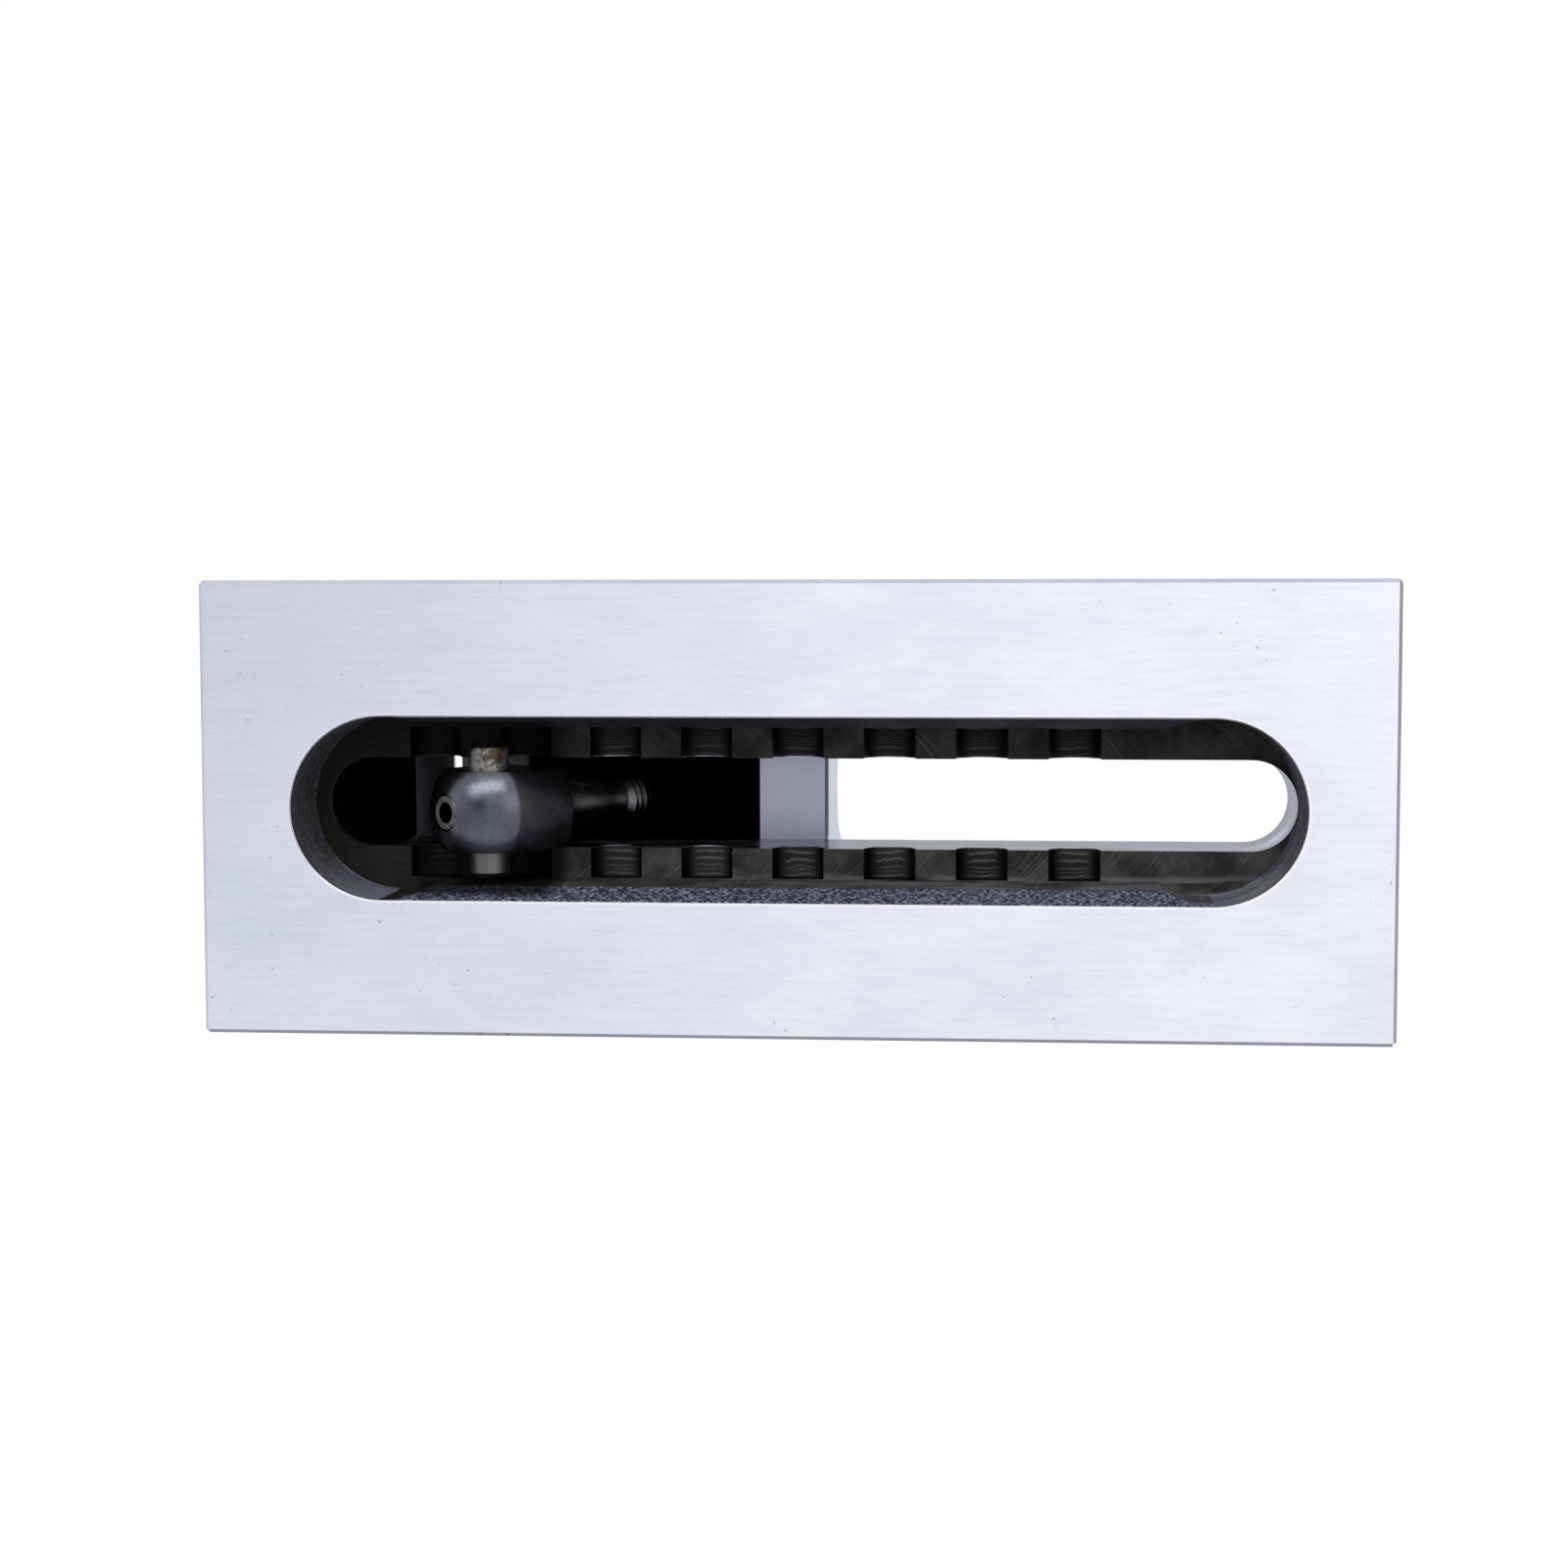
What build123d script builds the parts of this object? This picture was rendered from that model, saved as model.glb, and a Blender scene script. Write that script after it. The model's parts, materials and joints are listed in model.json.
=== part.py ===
from build123d import *
import os
from math import sqrt, degrees, atan2

# Precision toolmaker's vise, standing on its base. Millimetres.
# X runs along the bed with the fixed jaw at the low end, +Z is up,
# and the origin is the middle of the base's bounding box, on the base plane.

# Bed with the integral fixed jaw
body_length = 190.0
body_width = 73.0
bed_height = 32.0
jaw_height = 35.0
fixed_jaw_thickness = 27.8
edge_chamfer = 0.6
root_relief_radius = 0.8
clamp_groove_height = 6.0
clamp_groove_depth = 4.5
clamp_groove_above_base = 9.0

# Cavity milled into the base, and the slot that runs on up through the bed
cavity_front_wall = 14.6
cavity_rear_wall = 14.0
cavity_width = 29.4
cavity_depth = 15.0
mouth_chamfer = 0.25
upper_flank_depth = 6.0
upper_flank_inset = 1.8
lower_flank_inset = 0.5
slot_width = 14.8
slot_front_wall = 17.2
slot_rear_wall = 14.15

# Half-round index grooves across the two ledges
groove_count = 8
groove_pitch = 15.0
groove_radius = 4.25
groove_axis_above_ledge = 0.5
first_groove_from_front = 35.1

# Moving jaw
moving_jaw_length = 62.2
rest_opening = 8.95
tongue_height = 4.0
tongue_clearance = 0.1
front_wall = 10.85
rear_wall = 11.65
pocket_width = 26.0
pocket_corner_radius = 5.0
pocket_depth = 14.0

# Spherical seat in the rear top edge of the moving jaw, on a 45 degree axis
seat_angle = 45.0
seat_behind = 9.8
seat_below_top = 7.0
seat_clearance = 0.15
rod_passage_radius = 6.6
counterbore_radius = 10.6

# Ball washer and clamp nut
washer_ball_radius = 12.0
washer_radius = 8.5
washer_thickness = 4.0
washer_bore_clearance = 0.35
nut_radius = 7.0
nut_height = 10.0
nut_chamfer = 0.6
socket_flats = 8.2
socket_depth = 4.0

# Pull rod, cross pin and the set screw that locks the pin, along the rod from the pin
rod_reach = 66.8
rod_sway = 0.75
nose_radius = 10.8
nose_above_pin = 1.5
nose_over_base = 0.25
head_radius = 10.4
head_width = 13.0
head_end = 9.7
shoulder_chamfer = 0.5
taper_foot_radius = 6.0
taper_end = 25.4
neck_radius = 2.9
thread_start = 27.5
thread_radius = 3.95
thread_clearance = 0.05
thread_engaged = 3.4
rod_end_chamfer = 0.8
pin_radius = 3.3
pin_length = 22.0
pin_chamfer = 0.8
pin_clearance = 0.01
screw_radius = 3.0
screw_clearance = 0.03
screw_recess = 0.1
screw_chamfer = 0.3
screw_socket_flats = 3.0
screw_socket_depth = 2.6

# Places worked out from the sizes above
front_x = -body_length / 2
rear_x = body_length / 2
top_z = bed_height + jaw_height
fixed_face_x = front_x + fixed_jaw_thickness
jaw_front_x = fixed_face_x + rest_opening
jaw_rear_x = jaw_front_x + moving_jaw_length
seat_x = jaw_rear_x - seat_behind
seat_z = top_z - seat_below_top
nose_z = nose_radius + nose_over_base
seat_rise = seat_z - nose_z
seat_run = sqrt((rod_reach - nose_above_pin)**2 - seat_rise**2 - rod_sway**2)

seat_centre = Vector(seat_x, 0, seat_z)
nose_centre = Vector(seat_x - seat_run, rod_sway, nose_z)
rod_direction = (seat_centre - nose_centre).normalized()
pin_centre = nose_centre - rod_direction * nose_above_pin
pin_direction = (Vector(0, 1, 0) - rod_direction * rod_direction.Y).normalized()

# Frame of the rod: origin in the pin, Z up the rod towards the seat, Y along the pin
rod_frame = Location(Plane(origin=pin_centre, x_dir=pin_direction.cross(rod_direction), z_dir=rod_direction))
# Frame of the seat's own 45 degree axis, with Z pointing up and out of the counterbore
seat_frame = Location((seat_x, 0, seat_z), (0, seat_angle, 0))

nut_bottom = rod_reach - washer_ball_radius + washer_thickness
nut_top = nut_bottom + nut_height
rod_top = nut_bottom + thread_engaged
screw_bore_radius = screw_radius + screw_clearance
screw_face = nose_above_pin - sqrt(nose_radius**2 - screw_bore_radius**2) + screw_recess


def upright(radius, low, high):
    """Cylinder on the Z axis between two heights."""
    return Pos(0, 0, low) * Cylinder(radius, high - low, align=(Align.CENTER, Align.CENTER, Align.MIN))


def vise_body():
    """Bed and fixed jaw in one piece, with the indexing cavity open to the base."""
    outline = Polyline(
        (front_x, 0), (rear_x, 0), (rear_x, bed_height), (fixed_face_x, bed_height),
        (fixed_face_x, top_z), (front_x, top_z), close=True)
    body = extrude(Plane.XZ * make_face(outline), body_width / 2, both=True)
    concave = [e for e in body.edges().filter_by(Axis.Y)
               if abs(e.center().X - fixed_face_x) < 0.01 and abs(e.center().Z - bed_height) < 0.01]
    body = chamfer([e for e in body.edges() if e not in concave], edge_chamfer)
    body -= Pos(fixed_face_x, 0, bed_height) * Rot(90, 0, 0) * Cylinder(root_relief_radius, 2 * body_width)

    for side in (-1, 1):
        groove = Box(2 * body_length, 2 * clamp_groove_depth, clamp_groove_height,
                     align=(Align.CENTER, Align.CENTER, Align.MIN))
        body -= Pos(0, side * body_width / 2, clamp_groove_above_base) * groove

    end_radius = cavity_width / 2
    front_centre = front_x + cavity_front_wall + end_radius
    rear_centre = rear_x - cavity_rear_wall - end_radius
    for centre in (front_centre, rear_centre):
        body -= Pos(centre, 0, 0) * upright(end_radius, 0, cavity_depth)
    mouth = cavity_width / 2
    flank = mouth - upper_flank_inset
    ledge_edge = flank - lower_flank_inset
    section = Polyline(
        (-mouth, 0), (mouth, 0), (flank, upper_flank_depth), (ledge_edge, cavity_depth),
        (-ledge_edge, cavity_depth), (-flank, upper_flank_depth), close=True)
    channel = extrude(Plane.YZ * make_face(section), rear_centre - front_centre)
    body -= Pos(front_centre, 0, 0) * channel
    rim_length = rear_centre - front_centre + cavity_width + 2 * mouth_chamfer
    rim = extrude(SlotOverall(rim_length, cavity_width + 2 * mouth_chamfer), 2 * mouth_chamfer, taper=45)
    body -= Pos((front_centre + rear_centre) / 2, 0, 0) * rim

    slot_front = front_x + slot_front_wall
    slot_rear = rear_x - slot_rear_wall
    slot = extrude(SlotOverall(slot_rear - slot_front, slot_width), bed_height)
    body -= Pos((slot_front + slot_rear) / 2, 0, 0) * slot

    groove_z = cavity_depth + groove_axis_above_ledge
    for number in range(groove_count):
        groove_x = front_x + first_groove_from_front + number * groove_pitch
        body -= Pos(groove_x, 0, groove_z) * Rot(90, 0, 0) * Cylinder(groove_radius, 2 * ledge_edge)
    return body


def moving_jaw():
    """Sliding jaw: tongue in the slot, pocket for the rod, and the ball seat behind."""
    middle_x = (jaw_front_x + jaw_rear_x) / 2
    block = Pos(middle_x, 0, bed_height) * Box(
        moving_jaw_length, body_width, jaw_height, align=(Align.CENTER, Align.CENTER, Align.MIN))
    jaw = chamfer(block.edges(), edge_chamfer)

    tongue_width = slot_width - 2 * tongue_clearance
    tongue = Box(front_wall, tongue_width, tongue_height + edge_chamfer,
                 align=(Align.MIN, Align.CENTER, Align.MIN))
    tongue = chamfer(tongue.faces().sort_by(Axis.Z)[0].edges(), edge_chamfer)
    jaw += Pos(jaw_front_x, 0, bed_height - tongue_height) * tongue

    pocket_length = moving_jaw_length - front_wall - rear_wall
    pocket_x = jaw_front_x + front_wall + pocket_length / 2
    pocket = extrude(RectangleRounded(pocket_length, pocket_width, pocket_corner_radius), pocket_depth)
    jaw -= Pos(pocket_x, 0, bed_height) * pocket

    pocket_roof_z = bed_height + pocket_depth
    passage_length = (seat_z - pocket_roof_z) * sqrt(2) + 1.2 * rod_passage_radius
    jaw -= seat_frame * upright(rod_passage_radius, -passage_length, 0)

    recess_radius = washer_ball_radius + seat_clearance
    seat_edge = sqrt(recess_radius**2 - counterbore_radius**2)
    outward = 2 * (seat_behind + seat_below_top)
    bowl = Sphere(recess_radius) & upright(counterbore_radius, -recess_radius, 0)
    jaw -= seat_frame * bowl
    jaw -= seat_frame * upright(counterbore_radius, -seat_edge, outward)
    return jaw


def ball_washer():
    """Hardened washer with a spherical underside, which lets the rod swing."""
    flat = rod_reach - washer_ball_radius + washer_thickness
    washer = Pos(0, 0, rod_reach) * Sphere(washer_ball_radius)
    washer &= upright(washer_radius, rod_reach - washer_ball_radius, flat)
    washer -= upright(thread_radius + washer_bore_clearance, 0, rod_reach)
    return rod_frame * washer


def clamp_nut():
    """Round nut with a hexagon socket, turned with a key from behind the jaw."""
    nut = upright(nut_radius, nut_bottom, nut_top)
    nut = chamfer(nut.edges().sort_by(Axis.Z)[-1], nut_chamfer)
    socket = extrude(RegularPolygon(socket_flats / 2, 6, major_radius=False), socket_depth)
    nut -= Pos(0, 0, nut_top - socket_depth) * socket
    nut -= upright(thread_radius + thread_clearance, nut_bottom, nut_top)
    return rod_frame * nut


def pull_rod():
    """Rod with a round-nosed, flat-sided head below, then a long taper, neck and threaded end."""
    nose = (Pos(0, 0, nose_above_pin) * Sphere(nose_radius)) & upright(head_radius, -nose_radius, nose_above_pin)
    profile = Polyline(
        (0, nose_above_pin), (head_radius, nose_above_pin), (head_radius, head_end - shoulder_chamfer),
        (head_radius - shoulder_chamfer, head_end), (taper_foot_radius, head_end),
        (neck_radius, taper_end), (neck_radius, thread_start),
        (thread_radius, thread_start + thread_radius - neck_radius), (thread_radius, rod_top - rod_end_chamfer),
        (thread_radius - rod_end_chamfer, rod_top), (0, rod_top), close=True)
    rod = nose + revolve(Plane.XZ * make_face(profile), Axis.Z)
    rod &= Box(4 * head_radius, head_width, 4 * rod_reach)
    rod -= Rot(90, 0, 0) * Cylinder(pin_radius + pin_clearance, 2 * head_width)
    rod -= upright(screw_bore_radius, -nose_radius, 0)
    return rod_frame * rod


def cross_pin():
    """Hardened pin through the rod's head; its two ends catch in the index grooves."""
    pin = Rot(90, 0, 0) * Cylinder(pin_radius, pin_length)
    return rod_frame * chamfer(pin.edges().filter_by(GeomType.CIRCLE), pin_chamfer)


def pin_set_screw():
    """Set screw in the nose of the rod, which locks the pin in the head."""
    screw = upright(screw_radius, screw_face, -pin_radius)
    screw = chamfer(screw.edges().sort_by(Axis.Z)[0], screw_chamfer)
    socket = extrude(RegularPolygon(screw_socket_flats / 2, 6, major_radius=False), screw_socket_depth)
    screw -= Pos(0, 0, screw_face) * socket
    screw -= Rot(90, 0, 0) * Cylinder(pin_radius, 2 * head_width)
    return rod_frame * screw


parts = {
    "vise_body": vise_body(),
    "moving_jaw": moving_jaw(),
    "ball_washer": ball_washer(),
    "clamp_nut": clamp_nut(),
    "pull_rod": pull_rod(),
    "cross_pin": cross_pin(),
    "pin_set_screw": pin_set_screw(),
}

os.makedirs("parts", exist_ok=True)
for name, shape in parts.items():
    solids = shape.solids()
    piece = solids[0] if len(solids) == 1 else Compound(children=solids)
    export_step(piece, f"parts/{name}.step")

print("seat centre", seat_centre)
print("pin centre", pin_centre)
print("rod direction", rod_direction)
print("rod angle from vertical", round(degrees(atan2(seat_run, seat_rise)), 3))
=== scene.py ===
import json
from math import cos, pi, radians, sin

import bmesh
import bpy
from mathutils import Matrix, Vector


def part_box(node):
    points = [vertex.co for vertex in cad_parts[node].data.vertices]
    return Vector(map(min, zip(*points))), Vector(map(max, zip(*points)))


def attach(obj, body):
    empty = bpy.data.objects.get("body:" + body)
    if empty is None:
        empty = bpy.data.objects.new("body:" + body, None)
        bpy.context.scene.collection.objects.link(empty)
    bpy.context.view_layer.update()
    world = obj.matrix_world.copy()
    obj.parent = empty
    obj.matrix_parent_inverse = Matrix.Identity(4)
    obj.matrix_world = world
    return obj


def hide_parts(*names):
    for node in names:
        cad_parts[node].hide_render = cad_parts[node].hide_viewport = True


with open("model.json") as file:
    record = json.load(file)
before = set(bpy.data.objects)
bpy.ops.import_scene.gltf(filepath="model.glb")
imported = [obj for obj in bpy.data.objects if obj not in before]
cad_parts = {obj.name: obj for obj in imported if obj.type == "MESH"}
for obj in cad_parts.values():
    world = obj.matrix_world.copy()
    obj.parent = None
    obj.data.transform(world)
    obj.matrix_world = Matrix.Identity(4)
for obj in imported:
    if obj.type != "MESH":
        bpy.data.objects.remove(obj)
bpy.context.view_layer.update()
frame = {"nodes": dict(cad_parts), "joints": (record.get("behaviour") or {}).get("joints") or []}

# Vise body: one block of hardened steel, the bed and the fixed jaw together. Its outer
# faces are surface ground along their length. The cavity in the base is milled, with
# its hardening scale left on, and the walls of the slot through the bed are ground.
MM = 0.001
body_width = 73.0 * MM
bed_top = 32.0 * MM
ledge_height = 15.0 * MM
groove_top = 19.9 * MM
ledge_edge = 12.2 * MM
# Middle of the painted shadow of the rod's head in the cavity.
head_shadow_middle = -51.0 * MM
rim_offset = 0.15 * MM
cavity_radius = 14.7 * MM
cavity_middle = 0.3 * MM
cavity_straight = 66.0 * MM
slot_half = 7.4 * MM
slot_centre = 1.5 * MM
slot_straight = 71.9 * MM
fixed_jaw_face = -67.2 * MM
rough_flank_height = 6.0 * MM
rough_flank_end = 62.0 * MM
front_end_centre = -65.7 * MM
cutter_radius = 14.6 * MM
ground_light = (0.87, 0.88, 0.95, 1)
ground_grey = (0.72, 0.74, 0.83, 1)
ground_speck = (0.40, 0.40, 0.43, 1)
slot_pale = (0.44, 0.45, 0.51, 1)
slot_dull = (0.15, 0.155, 0.19, 1)
rim_highlight_white = (0.95, 0.95, 0.97, 1)
scale_black = (0.024, 0.024, 0.023, 1)
scale_grey = (0.175, 0.168, 0.154, 1)
flank_navy = (0.028, 0.032, 0.055, 1)
flank_lit_blue = (0.40, 0.44, 0.57, 1)
flank_shaded = (0.065, 0.065, 0.072, 1)
wall_dark = (0.058, 0.059, 0.069, 1)
wall_pale = (0.170, 0.173, 0.208, 1)
strip_highlight_grey = (0.30, 0.30, 0.33, 1)
moss_olive = (0.050, 0.050, 0.026, 1)
# Black for painted shade.
shade_black = (0.001, 0.001, 0.001, 1)


class Field:
    """A socket in one material's node tree, used like a number in Python arithmetic."""

    def __init__(self, tree, socket):
        self.tree = tree
        self.socket = socket

    def make(self, kind, settings, inputs, output=0):
        node = self.tree.nodes.new(kind)
        for name, value in settings.items():
            setattr(node, name, value)
        for key, value in inputs.items():
            if isinstance(value, Field):
                self.tree.links.new(value.socket, node.inputs[key])
            else:
                node.inputs[key].default_value = value
        return Field(self.tree, node.outputs[output])

    def maths(self, operation, *values):
        return self.make("ShaderNodeMath", {"operation": operation}, dict(enumerate(values)))

    def __add__(self, other):
        return self.maths("ADD", self, other)

    def __sub__(self, other):
        return self.maths("SUBTRACT", self, other)

    def __mul__(self, other):
        return self.maths("MULTIPLY", self, other)

    def __truediv__(self, other):
        return self.maths("DIVIDE", self, other)

    def __pow__(self, other):
        return self.maths("POWER", self, other)

    def __rsub__(self, other):
        return self.maths("SUBTRACT", other, self)

    __radd__ = __add__
    __rmul__ = __mul__

    def size(self):
        return self.maths("ABSOLUTE", self)

    def least(self, other):
        return self.maths("MINIMUM", self, other)

    def most(self, other):
        return self.maths("MAXIMUM", self, other)

    def sine(self):
        return self.maths("SINE", self)

    def step(self, low, high):
        """0 below low and 1 above high, smooth between; low may be the larger."""
        ends = {"Value": self, "From Min": low, "From Max": high}
        if low > high:
            ends.update({"From Min": high, "From Max": low, "To Min": 1.0, "To Max": 0.0})
        return self.make("ShaderNodeMapRange", {"interpolation_type": "SMOOTHSTEP"}, ends)

    def near(self, middle, full, gone):
        """1 within full of the middle, falling to 0 at gone."""
        return (self - middle).size().step(gone, full)

    def part(self, axis):
        return self.make("ShaderNodeSeparateXYZ", {}, {0: self}, axis)

    def stretched(self, x, y, z):
        return self.make("ShaderNodeVectorMath", {"operation": "MULTIPLY"}, {0: self, 1: (x, y, z)})

    def noise(self, scale, detail=3.0, rough=0.55):
        values = {"Vector": self, "Scale": scale, "Detail": detail, "Roughness": rough}
        return self.make("ShaderNodeTexNoise", {}, values)

    def line_noise(self, scale, detail, rough=0.5):
        values = {"W": self, "Scale": scale, "Detail": detail, "Roughness": rough}
        return self.make("ShaderNodeTexNoise", {"noise_dimensions": "1D"}, values)

    def colour(self, low, high):
        """Mixes two colours by this field."""
        return self.make("ShaderNodeMix", {"data_type": "RGBA"}, {0: self, 6: low, 7: high}, 2)

    def bump(self, distance, strength=1.0):
        return self.make("ShaderNodeBump", {}, {"Height": self, "Distance": distance, "Strength": strength})


def new_finish(name, **constants):
    """A material with its constant sockets set, and its Object coordinates as a field."""
    material = bpy.data.materials.new(name)
    material.use_nodes = True
    tree = material.node_tree
    for socket, value in constants.items():
        tree.nodes["Principled BSDF"].inputs[socket.replace("_", " ")].default_value = value
    return material, Field(tree, tree.nodes.new("ShaderNodeTexCoord").outputs["Object"])


def feed(material, **fields):
    """Joins fields to the sockets of the material's shader."""
    tree = material.node_tree
    for socket, field in fields.items():
        tree.links.new(field.socket, tree.nodes["Principled BSDF"].inputs[socket.replace("_", " ")])


def ground_colour(place):
    """Ground steel: streaks along X, cloudy stains and fine specks. Returns two fields too."""
    lines = place.stretched(26.0, 2300.0, 2300.0).noise(1.0, 4.0, 0.7)
    streaks = place.stretched(130.0, 1300.0, 1300.0).noise(1.0, 3.0, 0.65)
    clouds = place.stretched(30.0, 55.0, 55.0).noise(1.0, 5.0, 0.65)
    specks = place.noise(900.0, 2.0, 0.5).step(0.68, 0.76) * place.noise(55.0).step(0.50, 0.62)
    tone = clouds.step(0.34, 0.66) * 0.50 + streaks.step(0.30, 0.70) * 0.28 + lines.step(0.25, 0.75) * 0.22
    return specks.colour(tone.colour(ground_grey, ground_light), ground_speck), tone, lines


def dress(node, material):
    """Puts one material on a CAD node."""
    mesh = frame["nodes"][node].data
    mesh.materials.clear()
    mesh.materials.append(material)


body_steel, place = new_finish("ground steel body", Specular_IOR_Level=0.10)
x, y, z = place.part(0), place.part(1), place.part(2)
bright, tone, lines = ground_colour(place)

# Where the cavity, the slot, its blind front end and the fixed jaw's working face are.
past_straight = (x - cavity_middle).size() - cavity_straight
end_reach = past_straight.most(0.0)
from_middle = (end_reach * end_reach + y * y) ** 0.5
inside = from_middle.step(cavity_radius + 0.06 * MM, cavity_radius + 0.02 * MM)
in_cavity = inside * z.step(0.03 * MM, 0.10 * MM) * z.step(groove_top + 0.3 * MM, groove_top)
above_ledge = z.step(ledge_height + 0.02 * MM, ledge_height + 0.12 * MM)
in_bed = above_ledge * z.step(bed_top - 0.01 * MM, bed_top - 0.05 * MM)
slot_middle = ((x - slot_centre).size() - slot_straight).most(0.0)
from_slot_middle = (slot_middle * slot_middle + y * y) ** 0.5
slot_wall = from_slot_middle.near(slot_half, 0.09 * MM, 0.14 * MM) * in_bed
in_slot = y.size().step(slot_half + 0.1 * MM, slot_half)
# Painted shade: the slot's blind front end and the relief at the foot of the fixed jaw are painted black.
blind = in_slot * x.step(fixed_jaw_face + 0.3 * MM, fixed_jaw_face) * x.step(-80 * MM, -79 * MM)
blind = blind * z.step(ledge_height, ledge_height + 2 * MM) * z.step(bed_top + 0.4 * MM, bed_top + 0.2 * MM)
relief = x.near(fixed_jaw_face, 0.9 * MM, 1.0 * MM) * z.near(bed_top, 0.9 * MM, 1.0 * MM)
blind = blind.most(relief * in_slot)
blind_roof = blind * z.step(bed_top - 0.5 * MM, bed_top - 0.2 * MM)
scaled = in_cavity * (1 - slot_wall)
working_face = x.near(fixed_jaw_face, 0.3 * MM, 0.4 * MM) * z.step(bed_top + 0.9 * MM, bed_top + 1.2 * MM)
# Painted highlight: a thin white line along the cavity's mouth.
mouth_rim_highlight = from_middle.near(cavity_radius + rim_offset, 0.22 * MM, 0.32 * MM)
mouth_rim_highlight = mouth_rim_highlight * z.step(0.45 * MM, 0.35 * MM) * z.step(-0.5 * MM, -0.1 * MM)
at_front = x.step(-61.0 * MM, -63.0 * MM)
# Painted shadow: a patch around where the rod's head sits is darkened on the ledges and the slot walls.
head_shadow_mask = x.near(head_shadow_middle, 10.5 * MM, 14.5 * MM) * z.step(0.5 * MM, 4.0 * MM)

# Tool marks: arcs on the ledges, left by a cutter fed along X, and rings in the grooves.
arc = (cutter_radius * cutter_radius - y * y).size() ** 0.5
from_end = ((x - front_end_centre) * (x - front_end_centre) + y * y) ** 0.5
tool_path = (x - arc) * (1 - at_front) + from_end * at_front
wander = place.noise(260.0) * 1.4 * MM
tool_marks = (tool_path + wander).line_noise(1300.0, 4.0, 0.7).step(0.50, 0.74)
rings = (y + wander).line_noise(1500.0, 2.0, 0.6).step(0.48, 0.66)
scratched = place.noise(90.0).step(0.36, 0.62)
# In the grooves the rings show only on the roofs, lighter there as a painted highlight over real tool rings;
# the groove sides are painted black as shade.
groove_roof = z.step(groove_top - 1.3 * MM, groove_top - 0.3 * MM)
groove_side = above_ledge * z.step(groove_top - 0.6 * MM, groove_top - 2.2 * MM)
marked = tool_marks * scratched * (1 - above_ledge) + rings * groove_roof * above_ledge

# The scale: dull on the ledges, mossy at the front, darker at the front end as painted shade, and with a
# painted highlight on the strip below the far ledge.
grime = place.noise(140.0, 4.0, 0.6).step(0.35, 0.70)
moss = at_front * place.noise(900.0, 4.0, 0.7).step(0.46, 0.56) * x.step(-71 * MM, -74 * MM)
# Painted shade: the scale is darker at the front end.
scale_tone = (grime * (0.5 - above_ledge * 0.35) + marked * 0.75) * (1 - at_front * 0.75)
smooth_strip = z.step(rough_flank_height + 0.4 * MM, rough_flank_height + 1.2 * MM) * (1 - above_ledge)
# Painted highlight: a pale patchy band on the strip below the far ledge.
strip_highlight_mask = smooth_strip * y.step(ledge_edge - 1.4 * MM, ledge_edge + 0.4 * MM) * x.step(-40 * MM, 30 * MM)
strip_highlight_mask = strip_highlight_mask * place.stretched(60.0, 400.0, 300.0).noise(1.0, 3.0, 0.6).step(0.40, 0.62)

# The rough lower flanks are speckled, blue on the far side, where they are painted pale as lit,
# and the near flank is painted darker as shaded. The round end walls are ruled, painted lighter towards the
# far side as lit.
straight = x.near(3.5 * MM, rough_flank_end + 3.5 * MM, rough_flank_end + 5.5 * MM)
flank = z.step(rough_flank_height + 0.2 * MM, rough_flank_height - 0.2 * MM) * straight
lumps = place.stretched(1.0, 1.0, 1.5).noise(1450.0, 4.0, 0.7)
# Painted light and shade: the far flank is painted pale, as lit, and the near flank darker, as shaded.
lit_and_shaded_flank = y.step(1.0 * MM, -1.0 * MM).colour(flank_lit_blue, flank_shaded)
flank_colour = lumps.step(0.47, 0.60).colour(flank_navy, lit_and_shaded_flank)
end_wall = past_straight.step(0.2 * MM, 1.0 * MM) * (1 - above_ledge)
end_wall = end_wall * from_middle.near(cavity_radius, 0.25 * MM, 0.45 * MM)
ruled = place.stretched(110.0, 110.0, 1100.0).noise(1.0, 3.0, 0.6)
wall_lines = ruled * 0.5 + place.noise(1300.0, 3.0, 0.7) * 0.5
# Painted light: the end walls are painted lighter towards the far side, with a pale patch low on the far
# part, as lit there.
wall_tone = wall_lines.step(0.38, 0.62) + y.step(6 * MM, 13.5 * MM) * 0.6 + at_front * 0.25
wall_tone = wall_tone * z.step(0.5 * MM, 1.3 * MM)
lit_end_wall_patch = end_wall * y.step(8 * MM, 13 * MM) * wall_lines.step(0.40, 0.60)

# All of it is laid over the ground steel, from the widest patch to the smallest.
# Painted shade: the front end, the groove sides and the patch around the rod's head are darkened towards
# black here, and the slot walls by the head below.
front_shade = at_front * (1 - end_wall) * 0.40
darkened = groove_side.most(head_shadow_mask * 0.86).most(front_shade)
scale_colour = flank.colour(scale_tone.colour(scale_black, scale_grey), flank_colour)
scale_colour = end_wall.colour(scale_colour, wall_tone.colour(wall_dark, wall_pale))
scale_colour = (moss * (1 - above_ledge) * 0.6).colour(scale_colour, moss_olive)
scale_colour = (strip_highlight_mask * 0.55).colour(scale_colour, strip_highlight_grey)
scale_colour = (lit_end_wall_patch * 0.40).colour(scale_colour, flank_lit_blue)
scale_colour = darkened.colour(scale_colour, shade_black)
slot_tone = place.stretched(55.0, 55.0, 260.0).noise(1.0, 4.0, 0.6).step(0.38, 0.62)
slot_colour = head_shadow_mask.colour(slot_tone.colour(slot_dull, slot_pale), shade_black)
steel_colour = slot_wall.colour(mouth_rim_highlight.colour(bright, rim_highlight_white), slot_colour)
body_colour = blind.colour(scaled.colour(steel_colour, scale_colour), shade_black)
body_height = lines * (1 - scaled) * 0.12 + scaled * (marked * (1 - flank) * 0.7 + lumps * flank * 3.0)
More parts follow.
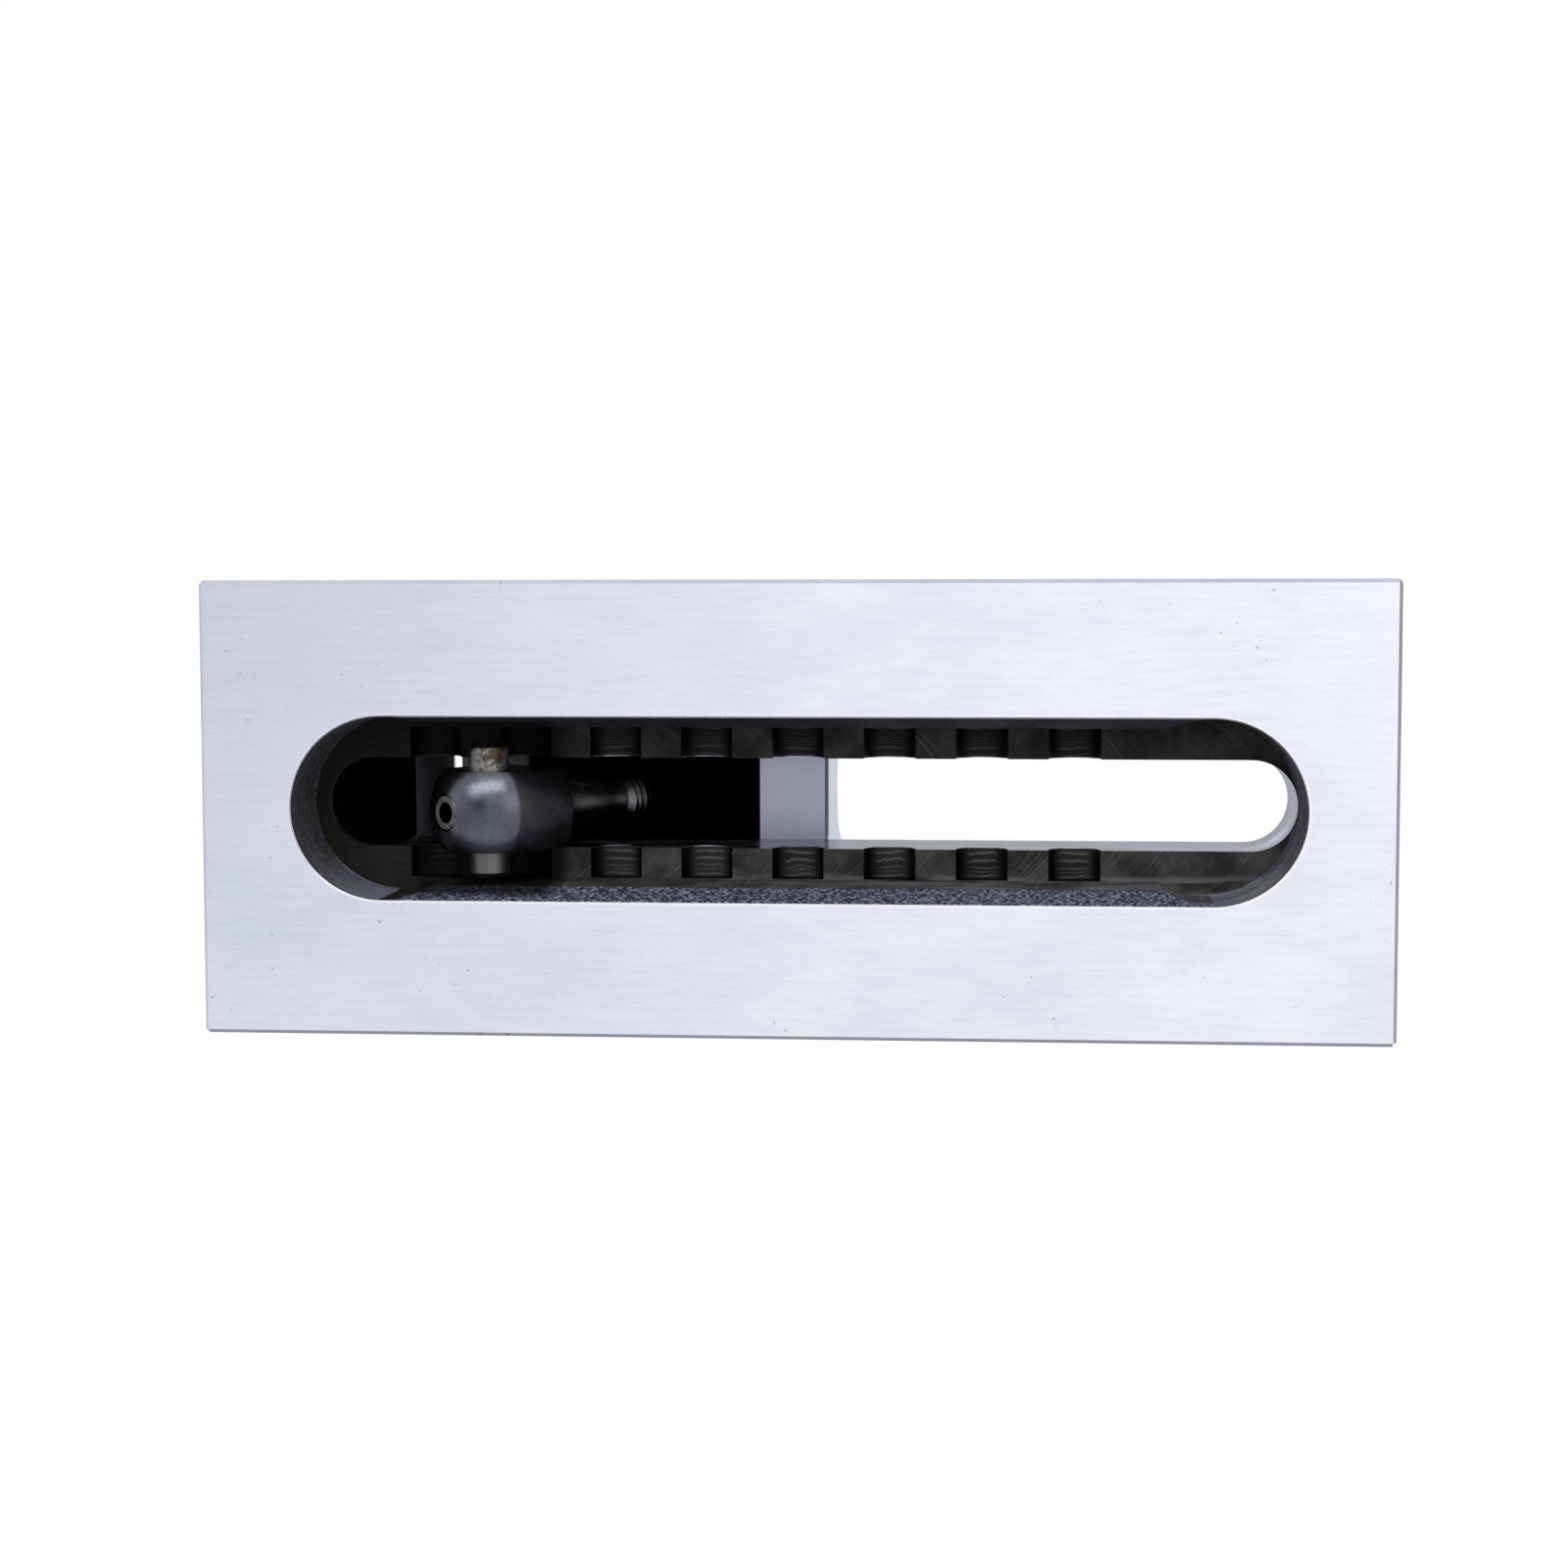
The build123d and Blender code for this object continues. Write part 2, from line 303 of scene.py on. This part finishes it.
feed(
    body_steel,
    Base_Color=body_colour,
    Metallic=(1 - scaled * 0.94) * (1 - blind) + blind_roof,
    Roughness=(
        0.34 + lines * 0.10 - tone * 0.06 - slot_wall * (0.14 - slot_tone * 0.10) - working_face * 0.18
        + scaled * (0.20 + grime * 0.14 + end_wall * 0.3) + blind * 0.3),
    Normal=body_height.bump(0.06 * MM),
)
dress("vise_body", body_steel)

# Moving jaw: a second ground block that slides on the bed, with a tongue in the slot.
# The milled pocket for the rod and the turned seat for the ball washer are painted near black, as painted
# shade deep in the pocket; the tongue is a dull light grey. The slide face is ground, and greyer than the
# outside.
jaw_low, jaw_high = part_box("moving_jaw")
jaw_front, jaw_rear, jaw_top = jaw_low[0], jaw_high[0], jaw_high[2]
skin = 0.7 * MM
slide_grey = (0.36, 0.37, 0.46, 1)
land_dark = (0.55, 0.55, 0.54, 1)
land_grey = (0.80, 0.80, 0.79, 1)
pocket_shade_black = (0.0015, 0.0015, 0.0015, 1)
pocket_shade_brown = (0.006, 0.005, 0.004, 1)

jaw_steel, place = new_finish("ground steel jaw", Specular_IOR_Level=0.0)
bright, tone, lines = ground_colour(place)
x, y, z = place.part(0), place.part(1), place.part(2)
on_sides = y.size().step(body_width / 2 - skin - 0.1 * MM, body_width / 2 - skin)
on_front = x.step(jaw_front + skin + 0.1 * MM, jaw_front + skin)
on_rear = x.step(jaw_rear - skin - 0.1 * MM, jaw_rear - skin)
on_top = z.step(jaw_top - skin - 0.1 * MM, jaw_top - skin)
slide_face = z.step(bed_top + 0.5 * MM, bed_top + 0.3 * MM) * z.step(bed_top - 0.3 * MM, bed_top - 0.1 * MM)
tongue = z.step(bed_top - 0.1 * MM, bed_top - 0.3 * MM)
ground = (on_sides + (on_front + on_rear) + on_top + slide_face).least(1.0) * (1 - tongue)
working_face = x.step(jaw_front + 0.4 * MM, jaw_front + 0.3 * MM)
shade_tone = place.noise(160.0, 4.0, 0.6).step(0.35, 0.7)
jaw_colour = ground.colour(
    tongue.colour(shade_tone.colour(pocket_shade_black, pocket_shade_brown), shade_tone.colour(land_dark, land_grey)),
    slide_face.colour(bright, slide_grey))
feed(
    jaw_steel,
    Base_Color=jaw_colour,
    Metallic=0.04 + ground * 0.96,
    Roughness=0.34 + lines * 0.10 - tone * 0.06 + (1 - ground) * 0.24 - working_face * 0.18,
    Normal=(lines * ground * 0.12 + (1 - ground) * shade_tone * 0.2).bump(0.06 * MM),
)
dress("moving_jaw", jaw_steel)

# Ball washer: a turned and hardened washer between the clamp nut and the jaw. Its
# round underside rolls in the seat, and its flat face shows as a thin bright ring.
washer_light = (0.50, 0.50, 0.51, 1)
washer_dark = (0.26, 0.25, 0.25, 1)
washer_steel, place = new_finish("turned washer steel", Metallic=1.0)
swirl = place.noise(700.0, 3.0, 0.6)
feed(
    washer_steel,
    Base_Color=swirl.step(0.3, 0.7).colour(washer_dark, washer_light),
    Roughness=0.28 + swirl * 0.2,
    Normal=swirl.bump(0.02 * MM, 0.6),
)
dress("ball_washer", washer_steel)

# Clamp nut: a round nut with a hexagon socket, black from hardening in oil. The rim
# is rubbed bright by the key.
nut_joint = next(joint for joint in frame["joints"] if joint["name"] == "nut_turn")
rod_direction = Vector(nut_joint["axis"]).normalized()
seat = Vector(nut_joint["pos_m"])
nut_top = 2.4 * MM
nut_rim = 6.5 * MM
oxide = (0.018, 0.018, 0.020, 1)
oxide_brown = (0.045, 0.038, 0.032, 1)
rubbed = (0.30, 0.30, 0.31, 1)


def along_rod(place):
    """Distance up the rod's axis from the seat's centre, and distance from that axis."""
    centred = place.make("ShaderNodeVectorMath", {"operation": "SUBTRACT"}, {0: place, 1: seat})
    up = centred.make("ShaderNodeVectorMath", {"operation": "DOT_PRODUCT"}, {0: centred, 1: rod_direction}, 1)
    length = centred.make("ShaderNodeVectorMath", {"operation": "LENGTH"}, {0: centred}, 1)
    return up, (length * length - up * up).most(0.0) ** 0.5


black_oxide, place = new_finish("black oxide", Metallic=0.85)
up, out = along_rod(place)
rim = up.step(nut_top - 1.0 * MM, nut_top - 0.5 * MM) * (out - nut_rim).size().step(0.9 * MM, 0.3 * MM)
patchy = place.noise(420.0, 4.0, 0.6)
oxide_tone = patchy.step(0.35, 0.7).colour(oxide, oxide_brown)
feed(
    black_oxide,
    Base_Color=(rim * patchy.step(0.38, 0.55)).colour(oxide_tone, rubbed),
    Roughness=0.30 + patchy * 0.22,
    Normal=patchy.bump(0.02 * MM, 0.5),
)
dress("clamp_nut", black_oxide)

# Pull rod: turned from one bar, with a round-nosed, flat-sided head below, a taper, a
# thin neck and an M8 thread that runs up into the clamp nut. It is hardened and oily.
rod_reach = 66.8 * MM
thread_foot = 27.5 * MM
thread_head = 61.8 * MM
thread_radius = 3.94 * MM
root_radius = 3.25 * MM
neck_radius = 2.9 * MM
thread_pitch = 1.25 * MM
end_chamfer = 0.8 * MM
turn_steps = 24
pin_centre = seat - rod_direction * rod_reach
pin_direction = (Vector((0, 1, 0)) - rod_direction * rod_direction.y).normalized()
rod_frame = Matrix.Translation(pin_centre) @ Matrix(
    (pin_direction.cross(rod_direction), pin_direction, rod_direction)).transposed().to_4x4()


def new_piece(name, mesh_work, material, body):
    """Turns a bmesh into a finished object that rides on a body."""
    mesh = bpy.data.meshes.new(name)
    mesh_work.to_mesh(mesh)
    mesh_work.free()
    piece = bpy.data.objects.new(name, mesh)
    bpy.context.scene.collection.objects.link(piece)
    mesh.materials.append(material)
    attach(piece, body)
    return piece


def close_ends(work):
    """Caps every open rim of a shell."""
    rims = [e for e in work.edges if e.is_boundary]
    bmesh.ops.holes_fill(work, edges=rims, sides=0)


rod_work = bmesh.new()
rod_work.from_mesh(frame["nodes"]["pull_rod"].data)
bmesh.ops.remove_doubles(rod_work, verts=rod_work.verts, dist=1e-6)
geometry = rod_work.verts[:] + rod_work.edges[:] + rod_work.faces[:]
neck_cut = pin_centre + rod_direction * (thread_foot - 0.02 * MM)
bmesh.ops.bisect_plane(rod_work, geom=geometry, plane_co=neck_cut, plane_no=rod_direction, clear_outer=True)
close_ends(rod_work)

thread_work = bmesh.new()
profile = (
    (root_radius, 0.0), (root_radius, 0.14), (thread_radius, 0.50), (thread_radius, 0.64), (root_radius, 1.0))
corners = [thread_work.verts.new((radius, 0, thread_foot - 2 * thread_pitch + share * thread_pitch))
           for radius, share in profile]
edges = [thread_work.edges.new(pair) for pair in zip(corners, corners[1:])]
turns = int((thread_head - thread_foot) / thread_pitch) + 4
bmesh.ops.spin(
    thread_work, geom=corners + edges, cent=(0, 0, 0), axis=(0, 0, 1), angle=2 * pi * turns,
    steps=turns * turn_steps, dvec=(0, 0, thread_pitch / turn_steps))
bmesh.ops.remove_doubles(thread_work, verts=thread_work.verts, dist=2e-6)
for height, side in ((thread_foot - 0.03 * MM, -1), (thread_head, 1)):
    geometry = thread_work.verts[:] + thread_work.edges[:] + thread_work.faces[:]
    bmesh.ops.bisect_plane(
        thread_work, geom=geometry, plane_co=(0, 0, height), plane_no=(0, 0, side), clear_outer=True)
for vertex in thread_work.verts:
    radius = vertex.co.xy.length
    limit = min(neck_radius + 0.02 * MM + (vertex.co.z - thread_foot) * 1.2, thread_radius)
    limit = min(limit, thread_radius - end_chamfer + (thread_head - vertex.co.z))
    if radius > limit:
        vertex.co.xy *= limit / radius
close_ends(thread_work)
bmesh.ops.recalc_face_normals(thread_work, faces=thread_work.faces)
thread_work.transform(rod_frame)
thread_mesh = bpy.data.meshes.new("thread_work")
thread_work.to_mesh(thread_mesh)
thread_work.free()
rod_work.from_mesh(thread_mesh)
bpy.data.meshes.remove(thread_mesh)
for face in rod_work.faces:
    face.smooth = True
for edge in rod_work.edges:
    edge.smooth = edge.calc_face_angle(0) < radians(32)

rod_dark = (0.078, 0.082, 0.098, 1)
rod_light = (0.116, 0.123, 0.146, 1)
collar_grey = (0.135, 0.133, 0.132, 1)
neck_highlight_grey = (0.50, 0.50, 0.50, 1)
rod_steel, place = new_finish("turned rod steel", Metallic=1.0)
up, out = along_rod(place)
turning = up.line_noise(3600.0, 2.0)
oil = place.noise(220.0, 4.0, 0.6)
grain = place.noise(1500.0, 2.0, 0.6)
rod_tone = (oil * 0.55 + turning * 0.15 + grain * 0.30).step(0.36, 0.64)
along = up + rod_reach
# Painted shade: the thread and the rod's +Y side past the head are painted black, for the dark pocket and the
# unlit side.
on_thread = along.step(27.5 * MM, 32.0 * MM).most(along.step(27.2 * MM, 27.6 * MM) * 0.6)
far_side = along.step(10.0 * MM, 11.0 * MM) * place.part(1).step(0.6 * MM, 2.2 * MM)
rod_shade = on_thread.most(far_side * 0.85)
on_collar = along.step(9.3 * MM, 10.2 * MM)
# Painted highlight: the neck is painted light grey.
neck_highlight_mask = along.step(12.0 * MM, 18.0 * MM)
head_colour = rod_tone.colour(rod_dark, rod_light)
collar_colour = rod_tone.colour(rod_dark, collar_grey)
rod_colour = neck_highlight_mask.colour(on_collar.colour(head_colour, collar_colour), neck_highlight_grey)
feed(
    rod_steel,
    Base_Color=rod_shade.colour(rod_colour, shade_black),
    Roughness=0.17 + oil * 0.12 + grain * 0.05,
    Normal=(turning * 0.10 + oil * 0.4 + grain * 0.16).bump(0.03 * MM, 0.6),
)
threaded_rod = new_piece("threaded_rod", rod_work, rod_steel, "rod")
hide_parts("pull_rod")

# Cross pin: a hardened pin pushed through the rod's head. Its ends drop into the index
# grooves; the end on the -Y side is worn bright and a little tan.
pin_grey = (0.165, 0.162, 0.158, 1)
pin_worn = (0.40, 0.38, 0.36, 1)
pin_tan = (0.085, 0.066, 0.050, 1)
pin_steel, place = new_finish("worn pin steel", Metallic=1.0)
far_end = place.part(1).step(-4.0 * MM, -7.0 * MM)
scuff = place.noise(330.0, 5.0, 0.65)
scuff_tone = scuff.step(0.46, 0.60).colour(pin_tan, pin_worn)
feed(
    pin_steel,
    Base_Color=far_end.colour(pin_grey, scuff_tone),
    Roughness=0.28 + scuff * 0.30,
    Normal=scuff.bump(0.05 * MM, 0.7),
)
dress("cross_pin", pin_steel)

# Set screw: an M6 screw with a hexagon socket in the nose of the rod. It bears on the
# pin and keeps it in the head; its face is lighter than the socket and the thread.
screw_face = -8.77 * MM
screw_steel, place = new_finish("set screw steel", Metallic=1.0)
up, out = along_rod(place)
face = (up + rod_reach).step(screw_face + 0.5 * MM, screw_face + 0.3 * MM) * out.step(1.72 * MM, 1.78 * MM)
face = face * out.step(2.76 * MM, 2.70 * MM)
grain = place.noise(800.0)
feed(
    screw_steel,
    Base_Color=(face * grain.step(0.2, 0.5)).colour(oxide, rubbed),
    Roughness=0.30 + grain * 0.15,
    Normal=grain.bump(0.02 * MM, 0.5),
)
dress("pin_set_screw", screw_steel)

# Studio: a pale floor under the base. It is open to a camera below it, and open under
# the base itself, so that the underside is lit and seen as it is in the photograph.
floor_size = 6.0
floor_drop = 0.3 * MM
floor_grey = (0.80, 0.81, 0.82, 1)
floor_glow = (0.17, 0.17, 0.18, 1)
footprint_x = 94.6 * MM
footprint_y = 36.2 * MM

floor_work = bmesh.new()
bmesh.ops.create_grid(floor_work, x_segments=1, y_segments=1, size=floor_size / 2)
bmesh.ops.translate(floor_work, verts=floor_work.verts, vec=(0, 0, -floor_drop))
floor_mesh = bpy.data.meshes.new("floor")
floor_work.to_mesh(floor_mesh)
floor_work.free()
floor = bpy.data.objects.new("floor", floor_mesh)
bpy.context.scene.collection.objects.link(floor)
floor_paint, place = new_finish(
    "pale floor", Base_Color=floor_grey, Roughness=0.75, Emission_Color=floor_glow, Emission_Strength=1.0)
camera_ray = place.make("ShaderNodeLightPath", {}, {}, "Is Camera Ray")
from_below = place.make("ShaderNodeNewGeometry", {}, {}, "Backfacing")
under_base = place.part(0).size().step(footprint_x + 0.1 * MM, footprint_x)
under_base = under_base * place.part(1).size().step(footprint_y + 0.1 * MM, footprint_y)
seen_from_above = camera_ray * (1 - from_below)
see_through = (camera_ray * from_below).most(under_base * (1 - seen_from_above))
tree = floor_paint.node_tree
clear = place.make("ShaderNodeBsdfTransparent", {}, {})
paint = Field(tree, tree.nodes["Principled BSDF"].outputs[0])
mixed = place.make("ShaderNodeMixShader", {}, {0: see_through, 1: paint, 2: clear})
tree.links.new(mixed.socket, tree.nodes["Material Output"].inputs["Surface"])
floor_mesh.materials.append(floor_paint)


def soft_lamp(name, place, aim, size, power):
    """A square area lamp that faces a point."""
    lamp = bpy.data.lights.new(name, "AREA")
    lamp.size = size
    lamp.energy = power
    holder = bpy.data.objects.new(name, lamp)
    bpy.context.scene.collection.objects.link(holder)
    holder.location = place
    holder.rotation_euler = (Vector(aim) - Vector(place)).to_track_quat("-Z", "Y").to_euler()
    return holder


soft_lamp("key_above", (-0.45, -0.70, 0.80), (0, 0, 0.03), 0.6, 5.5)
soft_lamp("fill_above", (0.80, 0.45, 0.60), (0, 0, 0.03), 0.7, 2.6)
key_below = soft_lamp("key_below", (-0.15, -0.55, -0.58), (-0.04, 0, 0.0), 0.85, 3.0)
key_below.data.shape = "RECTANGLE"
key_below.data.size_y = 0.28
soft_lamp("fill_below", (0.60, -0.30, -0.75), (0.02, 0, 0.0), 0.5, 0.6)


def reflected_card(name, corners, colour):
    """A glowing card that only mirrors in the steel: no camera, diffuse or shadow ray meets it."""
    work = bmesh.new()
    work.faces.new([work.verts.new(corner) for corner in corners])
    mesh = bpy.data.meshes.new(name)
    work.to_mesh(mesh)
    work.free()
    card = bpy.data.objects.new(name, mesh)
    bpy.context.scene.collection.objects.link(card)
    paint, place = new_finish(
        name, Base_Color=(0, 0, 0, 1), Specular_IOR_Level=0.0, Emission_Color=colour, Emission_Strength=1.0)
    mesh.materials.append(paint)
    card.visible_camera = False
    card.visible_diffuse = False
    card.visible_shadow = False
    return card


# Cards below and beside the base, for the plate's grey left part and the head's dark sides.
reflected_card(
    "grey_card", [(-1.5, -0.9, -0.8), (-0.14, -0.9, -0.8), (-0.14, 0.5, -0.8), (-1.5, 0.5, -0.8)],
    (0.74, 0.77, 0.84, 1))
reflected_card(
    "dark_card_below",
    [(-0.63, -0.30, -0.79), (-0.19, -0.30, -0.79), (-0.19, -0.02, -0.79), (-0.63, -0.02, -0.79)],
    (0.26, 0.27, 0.30, 1))
reflected_card(
    "dark_card_side", [(-1.4, 0.9, -0.5), (1.4, 0.9, -0.5), (1.4, 0.9, 0.4), (-1.4, 0.9, 0.4)],
    (0.14, 0.15, 0.18, 1))
reflected_card(
    "dark_card_end", [(1.0, -1.2, -0.5), (1.0, 1.2, -0.5), (1.0, 1.2, 0.4), (1.0, -1.2, 0.4)],
    (0.20, 0.19, 0.18, 1))

# Grey cards above the floor, so that the ground faces turn from light to grey as they turn.
wall = 1.3
card_foot, card_head = 0.03, 1.1
for name, from_x, from_y, to_x, to_y, colour in (
        ("soft_card_near", -wall, -wall, wall, -wall, (0.50, 0.52, 0.57, 1)),
        ("soft_card_front", -wall, wall, -wall, -wall, (0.62, 0.64, 0.69, 1)),
        ("soft_card_rear", wall, -wall, wall, wall, (0.30, 0.31, 0.35, 1))):
    reflected_card(
        name, [(from_x, from_y, card_foot), (to_x, to_y, card_foot),
               (to_x, to_y, card_head), (from_x, from_y, card_head)], colour)
reflected_card(
    "soft_card_top", [(-wall, -wall, card_head), (wall, -wall, card_head),
                      (wall, wall, card_head), (-wall, wall, card_head)], (0.66, 0.68, 0.73, 1))

# Dark cards between the jaws, for the darkness in the closed gap. The moving jaw hides them
# as it shuts.
card_front, card_rear = fixed_jaw_face + 0.1 * MM, jaw_front - 0.1 * MM
card_low, card_top, card_side = bed_top + 0.1 * MM, jaw_top - 1.5 * MM, body_width / 2 - 0.5 * MM
card_black = (0, 0, 0, 1)
for name, half, height in (("gap_card_top", card_side, card_top), ("gap_card_low", slot_half, card_low)):
    reflected_card(
        name, [(card_front, -half, height), (card_rear, -half, height),
               (card_rear, half, height), (card_front, half, height)], card_black)
for name, side in (("gap_card_near", -card_side), ("gap_card_far", card_side)):
    reflected_card(
        name, [(card_front, side, card_low), (card_rear, side, card_low),
               (card_rear, side, card_top), (card_front, side, card_top)], card_black)

world = bpy.data.worlds.new("studio")
bpy.context.scene.world = world
world.use_nodes = True
background = world.node_tree.nodes["Background"]
rays = world.node_tree.nodes.new("ShaderNodeLightPath")
camera_seen = Field(world.node_tree, rays.outputs["Is Camera Ray"])
glossy_seen = Field(world.node_tree, rays.outputs["Is Glossy Ray"])
through_seen = Field(world.node_tree, rays.outputs["Is Transmission Ray"])
white_seen = (camera_seen + glossy_seen + through_seen).least(1.0)
world_light = white_seen.colour((0.27, 0.28, 0.30, 1), (1, 1, 1, 1))
world.node_tree.links.new(world_light.socket, background.inputs["Color"])

# Camera: below the base, looking up into the cavity, as in the photograph.
camera_place = Vector((35.4, -35.3, -426.2)) * MM
camera_aim = Vector((-0.9, -4.3, 0.0)) * MM
camera_roll = radians(-0.08)
focal_pixels = 2771.8
frame_pixels = 1600
sensor = 36.0

view = bpy.data.cameras.new("camera")
view.sensor_width = sensor
view.lens = focal_pixels / frame_pixels * sensor
view.clip_start = 0.01
camera = bpy.data.objects.new("camera", view)
bpy.context.scene.collection.objects.link(camera)
forward = (camera_aim - camera_place).normalized()
level = forward.cross(Vector((0, -1, 0))).normalized()
upward = level.cross(forward)
right = level * cos(camera_roll) + upward * sin(camera_roll)
camera.matrix_world = Matrix.Translation(camera_place) @ Matrix(
    (right, right.cross(forward), -forward)).transposed().to_4x4()
bpy.context.scene.camera = camera
bpy.context.scene.view_settings.view_transform = "Standard"
